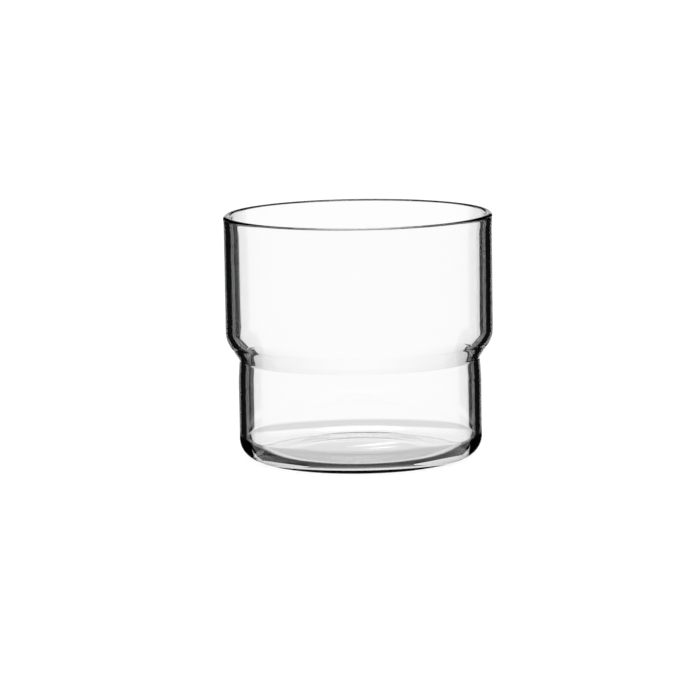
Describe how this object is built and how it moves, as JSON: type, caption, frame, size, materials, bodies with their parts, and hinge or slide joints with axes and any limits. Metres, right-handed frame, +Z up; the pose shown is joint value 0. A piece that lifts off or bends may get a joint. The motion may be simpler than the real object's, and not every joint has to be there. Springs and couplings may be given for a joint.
{
  "type": "cortado glass",
  "caption": "Clear stepped cortado glass: wide straight-walled bowl with a rounded rim over a narrower foot, for short coffee drinks; the foot fits the bowl for stacking.",
  "frame": {"origin": "centre of the base, on the plane that the glass stands on", "axes": "+Z up along the axis of revolution to the rim, -Y towards the camera of the picture"},
  "size_m": [0.08, 0.08, 0.073],
  "materials": {
    "clear_glass": "clear, fire-polished"
  },
  "bodies": {
    "root": {"glass": "clear_glass"}
  },
  "joints": []
}
